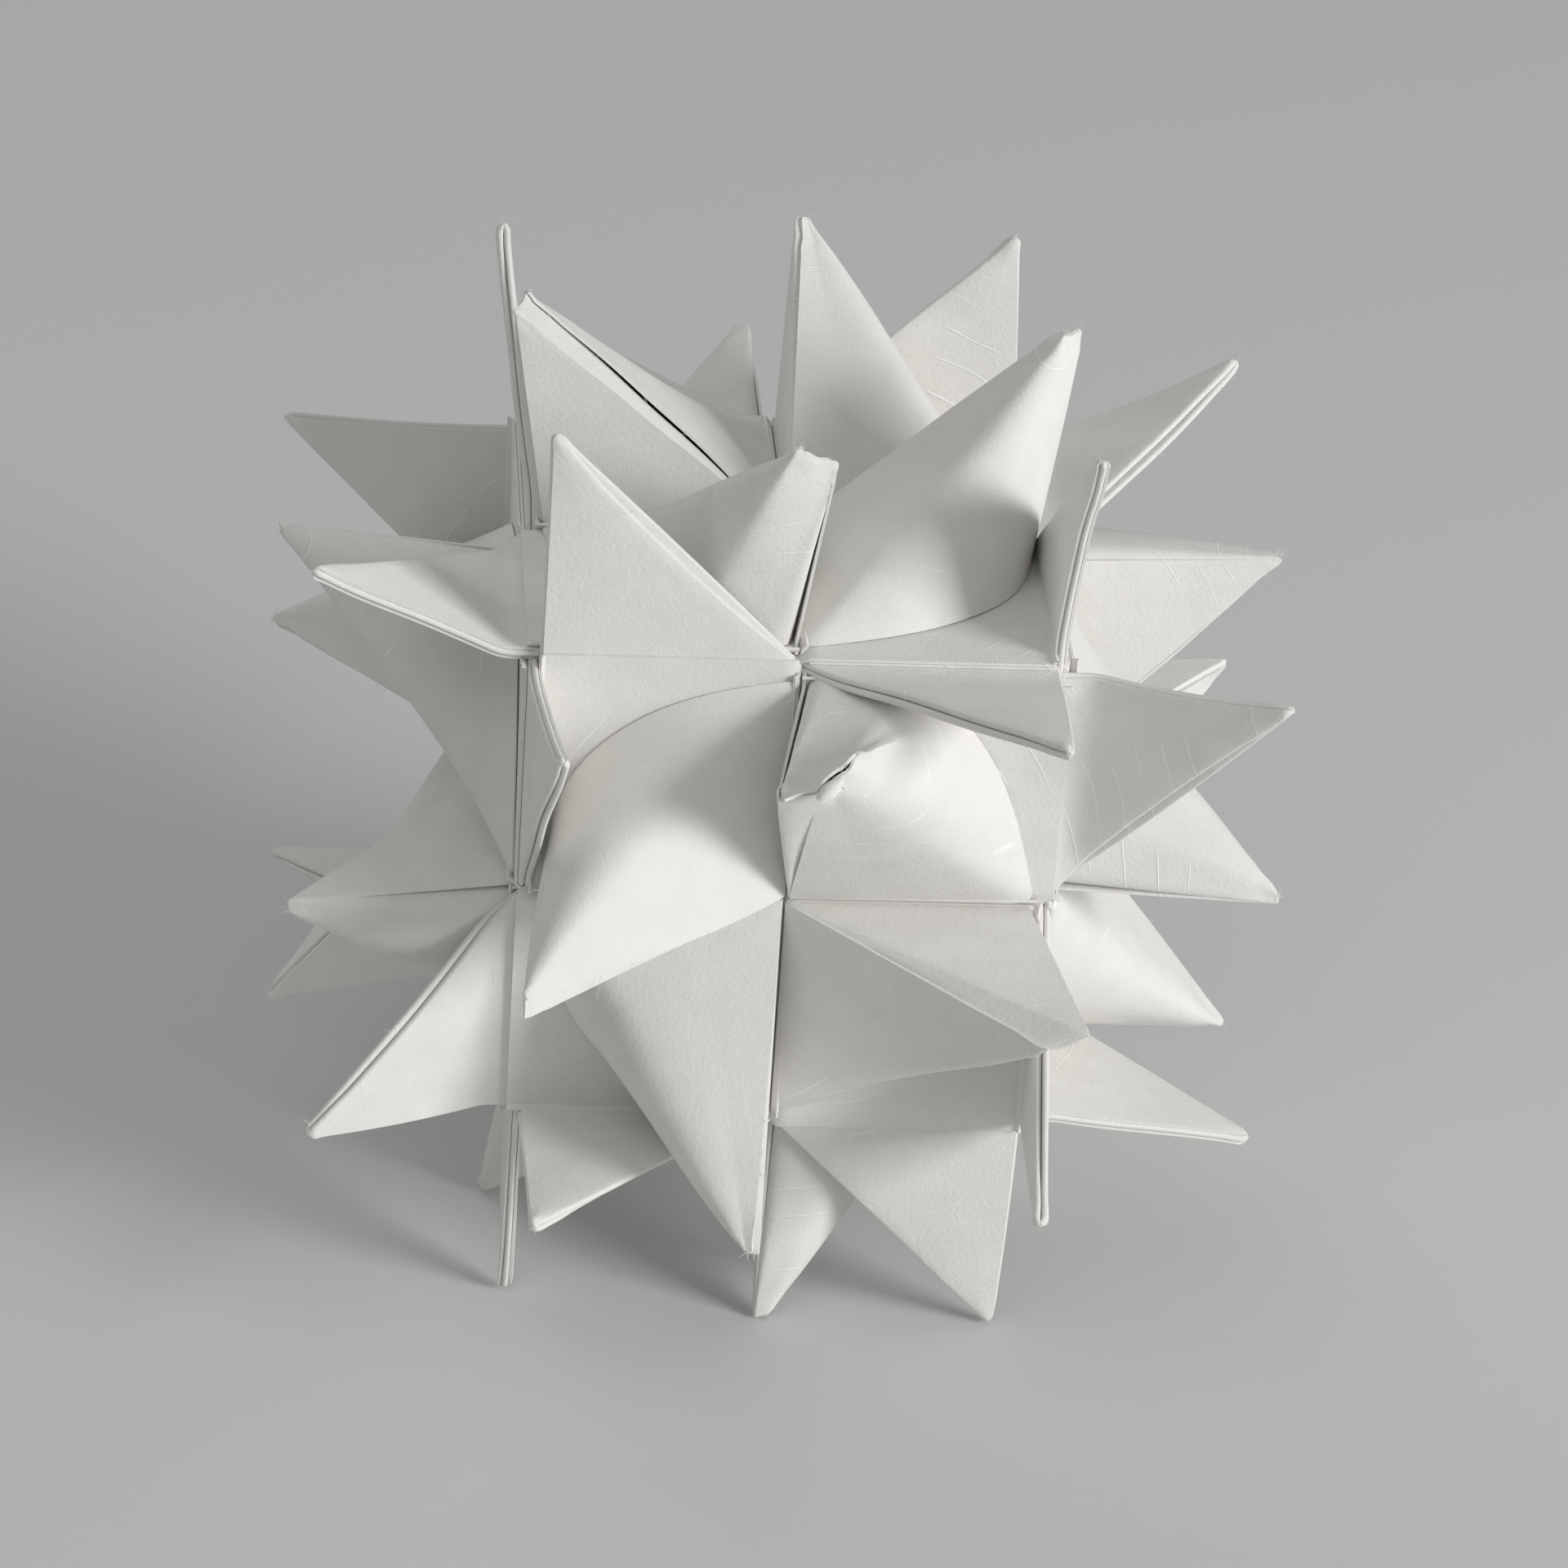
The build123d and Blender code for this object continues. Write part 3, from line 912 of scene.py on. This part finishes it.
@dataclass(frozen=True)
class UncoatedPaper:
    """Uncoated white paper, cut in strips and folded: matt, faintly mottled, with a fine felt of fibres."""

    light: str = "EFEEEB"
    shade: str = "E3E1DC"
    scuff: str = "FAF9F7"
    mottle_mm: float = 2.2
    fibre_mm: float = 0.28
    patch_mm: float = 14.0
    dash_mm: float = 4.0
    hairline_mm: float = 1.7
    roughness: float = 0.9
    specular: float = 0.25
    felt: float = 0.55
    felt_depth_mm: float = 0.10
    ridge: float = 0.6
    ridge_depth_mm: float = 0.05

    def build(self) -> bpy.types.Material:
        """Make the material.

        Returns:
            A material whose bump and mottling read Object coordinates.
        """
        material = bpy.data.materials.new("uncoated_white_paper")
        material.use_nodes = True
        tree = material.node_tree
        shader = tree.nodes["Principled BSDF"]
        # No coating: light scatters evenly, with only a trace of sheen from the fibres
        shader.inputs["Roughness"].default_value = self.roughness
        shader.inputs["Specular IOR Level"].default_value = self.specular
        place = node(tree, "ShaderNodeTexCoord").outputs["Object"]
        # Mottling: faint cloudy patches a few millimetres wide, as handled paper has
        mottle = self.noise(tree, place, self.mottle_mm, {"Detail": 4.0})
        # Felt: the fine grain of fibres, drawn about five times coarser than real so that
        # it can still be seen when the whole ball fills the picture
        fibre = self.noise(tree, place, self.fibre_mm, {"Detail": 6.0, "Roughness": 0.65})
        colours = {6: rgb(self.light), 7: rgb(self.shade)}
        mix = node(tree, "ShaderNodeMix", colours, {0: mottle}, data_type="RGBA")
        mark = self.scratches(tree, place)
        scuffed = node(
            tree,
            "ShaderNodeMix",
            {7: rgb(self.scuff)},
            {0: mark, 6: mix.outputs[2]},
            data_type="RGBA",
        )
        tree.links.new(scuffed.outputs[2], shader.inputs["Base Color"])
        felt = node(
            tree,
            "ShaderNodeBump",
            {"Strength": self.felt, "Distance": self.felt_depth_mm * MM},
            {"Height": fibre},
        )
        ridge = node(
            tree,
            "ShaderNodeBump",
            {"Strength": self.ridge, "Distance": self.ridge_depth_mm * MM},
            {"Height": mark, "Normal": felt.outputs["Normal"]},
        )
        tree.links.new(ridge.outputs["Normal"], shader.inputs["Normal"])
        return material

    @staticmethod
    def noise(
        tree: bpy.types.NodeTree, place: bpy.types.NodeSocket, size_mm: float, values: dict[str, float]
    ) -> bpy.types.NodeSocket:
        """Add noise whose patches have a given size.

        Args:
            tree: to add it to.
            place: coordinates, in metres.
            size_mm: of a patch.
            values: the noise's other settings.

        Returns:
            Socket with a value about one half.
        """
        made = node(tree, "ShaderNodeTexNoise", {"Scale": 1 / (size_mm * MM), **values}, {"Vector": place})
        return made.outputs["Fac"]

    def scratches(self, tree: bpy.types.NodeTree, place: bpy.types.NodeSocket) -> bpy.types.NodeSocket:
        """Add scratches: short pale arcs in a few rubbed places.

        They are the crests of ring waves, of which two noises added up let only dashes
        through. They are drawn wider than real hairline scratches, so that they show.

        Args:
            tree: to add them to.
            place: coordinates, in metres.

        Returns:
            Socket that is one on a scratch and nought elsewhere.
        """
        patch = self.noise(tree, place, self.patch_mm, {"Detail": 1.0})
        dashes = self.noise(tree, place, self.dash_mm, {"Detail": 0.0})
        both = node(tree, "ShaderNodeMath", {}, {0: patch, 1: dashes}, operation="ADD")
        worn = node(
            tree,
            "ShaderNodeMapRange",
            {"From Min": 1.12, "From Max": 1.24},
            {"Value": both.outputs["Value"]},
        )
        rings = node(
            tree,
            "ShaderNodeTexWave",
            {"Scale": 0.31 / (self.hairline_mm * MM), "Distortion": 5.0, "Detail": 1.0, "Detail Scale": 0.6},
            {"Vector": place},
            wave_type="RINGS",
            rings_direction="SPHERICAL",
        )
        thin = node(
            tree,
            "ShaderNodeMapRange",
            {"From Min": 0.99, "From Max": 1.0},
            {"Value": rings.outputs["Fac"]},
        )
        mark = node(
            tree,
            "ShaderNodeMath",
            {},
            {0: thin.outputs["Result"], 1: worn.outputs["Result"]},
            operation="MULTIPLY",
        )
        return mark.outputs["Value"]


def node(
    tree: bpy.types.NodeTree,
    kind: str,
    values: dict[str | int, object] | None = None,
    links: dict[str | int, bpy.types.NodeSocket] | None = None,
    **settings: object,
) -> bpy.types.Node:
    """Add a node with its settings, socket values and links.

    Args:
        tree: to add it to.
        kind: node type.
        values: socket name to value.
        links: socket name to the output that feeds it.
        settings: attributes of the node.

    Returns:
        The new node.
    """
    made = tree.nodes.new(kind)
    for name, value in settings.items():
        setattr(made, name, value)
    for name, value in (values or {}).items():
        made.inputs[name].default_value = value
    for name, output in (links or {}).items():
        tree.links.new(output, made.inputs[name])
    return made


@dataclass(frozen=True)
class Lamp:
    """Square soft lamp that faces the ball."""

    name: str
    place_m: tuple[float, float, float]
    side_m: float
    power_w: float

    def build(self) -> None:
        """Put the lamp into the scene."""
        lamp = bpy.data.lights.new(self.name, "AREA")
        lamp.size = self.side_m
        lamp.energy = self.power_w
        holder = bpy.data.objects.new(self.name, lamp)
        holder.location = self.place_m
        holder.rotation_euler = (-Vector(self.place_m)).to_track_quat("-Z", "Y").to_euler()
        bpy.context.scene.collection.objects.link(holder)


@dataclass
class Studio:
    """Pale floor, soft lamps and the camera.

    The camera's angles, distance and focal length, and the place of the ball's middle in
    the picture, were fitted by least squares to corners and tips read in the photograph.
    """

    elevation_deg: float = 29.1
    azimuth_deg: float = -5.36
    roll_deg: float = 3.97
    distance_mm: float = 416.0
    focal_px: float = 8410.0
    centre_px: tuple[float, float] = (942.3, 938.3)
    picture_px: float = 1920.0
    sensor_mm: float = 36.0
    floor_half_m: float = 3.0
    floor_height_m: float = -0.03004
    world_strength: float = 0.27
    key: Lamp = Lamp("key", (0.62, -0.44, 0.27), 0.30, 4.5)
    fill: Lamp = Lamp("fill", (-0.3, -0.5, 1.0), 0.8, 1.3)
    back: Lamp = Lamp("back", (-0.5, 0.7, 0.5), 0.6, 1.2)

    def build(self) -> None:
        """Make floor, lamps, world and camera."""
        self.floor()
        self.lamps()
        self.camera()

    def floor(self) -> None:
        """Large plain square that the lowest tips touch."""
        mesh = bpy.data.meshes.new("floor")
        half, low = self.floor_half_m, self.floor_height_m
        corners = [(-half, -half, low), (half, -half, low), (half, half, low), (-half, half, low)]
        mesh.from_pydata(corners, [], [(0, 1, 2, 3)])
        material = bpy.data.materials.new("plain_pale_floor")
        material.use_nodes = True
        shader = material.node_tree.nodes["Principled BSDF"]
        shader.inputs["Base Color"].default_value = rgb("D8D8D8")
        shader.inputs["Roughness"].default_value = 0.7
        mesh.materials.append(material)
        piece = bpy.data.objects.new("floor", mesh)
        bpy.context.scene.collection.objects.link(piece)

    def lamps(self) -> None:
        """A soft key lamp from the right and front, two weaker and larger ones, and an even world."""
        for lamp in (self.key, self.fill, self.back):
            lamp.build()
        world = bpy.data.worlds.new("room")
        world.use_nodes = True
        world.node_tree.nodes["Background"].inputs["Color"].default_value = rgb("FFFFFF")
        world.node_tree.nodes["Background"].inputs["Strength"].default_value = self.world_strength
        bpy.context.scene.world = world

    def camera(self) -> None:
        """Camera at the photograph's angle, turned a little about its own view."""
        e, a, r = (math.radians(v) for v in (self.elevation_deg, self.azimuth_deg, self.roll_deg))
        back = Vector((math.sin(a) * math.cos(e), -math.cos(a) * math.cos(e), math.sin(e)))
        side = Vector((math.cos(a), math.sin(a), 0.0))
        up = back.cross(side)
        right = side * math.cos(r) + up * math.sin(r)
        top = up * math.cos(r) - side * math.sin(r)
        scale = self.distance_mm / self.focal_px * MM
        middle = self.picture_px / 2
        aim = right * (middle - self.centre_px[0]) * scale - top * (middle - self.centre_px[1]) * scale
        camera = bpy.data.cameras.new("camera")
        camera.sensor_width = self.sensor_mm
        camera.lens = self.focal_px / self.picture_px * self.sensor_mm
        holder = bpy.data.objects.new("camera", camera)
        place = aim + back * self.distance_mm * MM
        holder.matrix_world = Matrix((
            (right.x, top.x, back.x, place.x),
            (right.y, top.y, back.y, place.y),
            (right.z, top.z, back.z, place.z),
            (0, 0, 0, 1),
        ))
        bpy.context.scene.collection.objects.link(holder)
        bpy.context.scene.camera = holder


def strip_places() -> dict[str, np.ndarray]:
    """Rotations that carry the first strip to each of the twelve.

    A third of a turn about the cube's diagonal takes each axis to the next, and half
    a turn about an axis changes the sign of the other two.

    Returns:
        Node name to rotation matrix.
    """
    third = np.array([[0, 0, 1], [1, 0, 0], [0, 1, 0]], float)
    halves = [np.diag(signs) for signs in ([1.0, 1, 1], [1.0, -1, -1], [-1.0, 1, -1], [-1.0, -1, 1])]
    out = {}
    for turns in range(3):
        for half in halves:
            turn = half @ np.linalg.matrix_power(third, turns)
            lies = Side.facing(turn @ np.array(Side.FRONT.value))
            beside = Side.facing(turn @ np.array(Side.LEFT.value))
            out[f"strip_{lies.name}_{beside.name}".lower()] = turn
    return out


def main() -> None:
    """Build every piece in order."""
    logging.basicConfig(level=logging.INFO, format="%(name)s: %(message)s")
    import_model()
    bpy.context.scene.view_settings.view_transform = "Standard"
    paper = UncoatedPaper().build()
    for number, (name, turn) in enumerate(strip_places().items()):
        piece = StarStrip(f"{name}_paper", turn, number + 1).build(paper)
        log.info("%s: %d faces", piece.name, len(piece.data.polygons))
    Studio().build()


if __name__ == "__main__":
    main()
